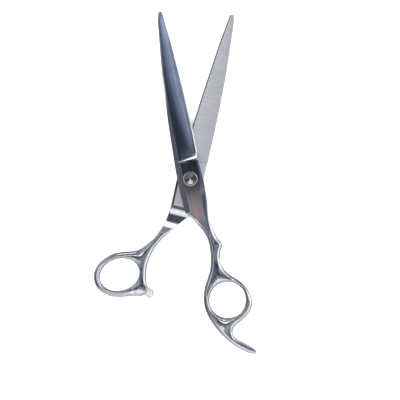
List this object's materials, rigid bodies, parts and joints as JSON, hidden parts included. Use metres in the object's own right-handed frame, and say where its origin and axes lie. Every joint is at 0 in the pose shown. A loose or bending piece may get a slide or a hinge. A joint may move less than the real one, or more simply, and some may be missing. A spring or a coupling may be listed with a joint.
{
  "type": "hair cutting shears",
  "caption": "Polished steel hair cutting shears with an adjustable screw pivot, a round finger ring with a curved finger rest, an oval thumb ring and a soft stop.",
  "frame": {"origin": "on the pivot axis, in the flat outer face of the tension nut, where the shears rest when they lie flat", "axes": "+Z along the pivot axis, out of the screw's head; +Y towards the blade tips, as the picture shows them; +X to the right in the picture"},
  "size_m": [0.0915, 0.1919, 0.0088],
  "materials": {
    "polished_steel": "mirror polished stainless steel",
    "blade_steel": "polished outside, finely ground across the inner face",
    "turned_steel": "turned, fine rings",
    "spring_steel": "satin",
    "nylon": "natural nylon, matt",
    "clear_silicone": "clear, slightly cloudy silicone"
  },
  "bodies": {
    "finger_half": {"finger_blade": "polished_steel", "finger_handle": "polished_steel", "pivot_screw": "turned_steel"},
    "thumb_half": {"thumb_blade": "blade_steel", "thumb_handle": "polished_steel", "soft_stop": "clear_silicone", "pivot_bush": "nylon", "glide_washer": "nylon", "thrust_washer": "spring_steel"},
    "nut": {"tension_nut": "turned_steel", "spring_washer": "spring_steel"}
  },
  "joints": [
    {"name": "blade_pivot", "type": "hinge", "parent": "finger_half", "child": "thumb_half", "pos_m": [0, 0, 0.00455], "axis": [0, 0, 1], "range_deg": [-110, 23.3]},
    {"name": "tension_turn", "type": "hinge", "parent": "finger_half", "child": "nut", "pos_m": [0, 0, 0.0008], "axis": [0, 0, 1], "range_deg": [-90, 90]}
  ]
}
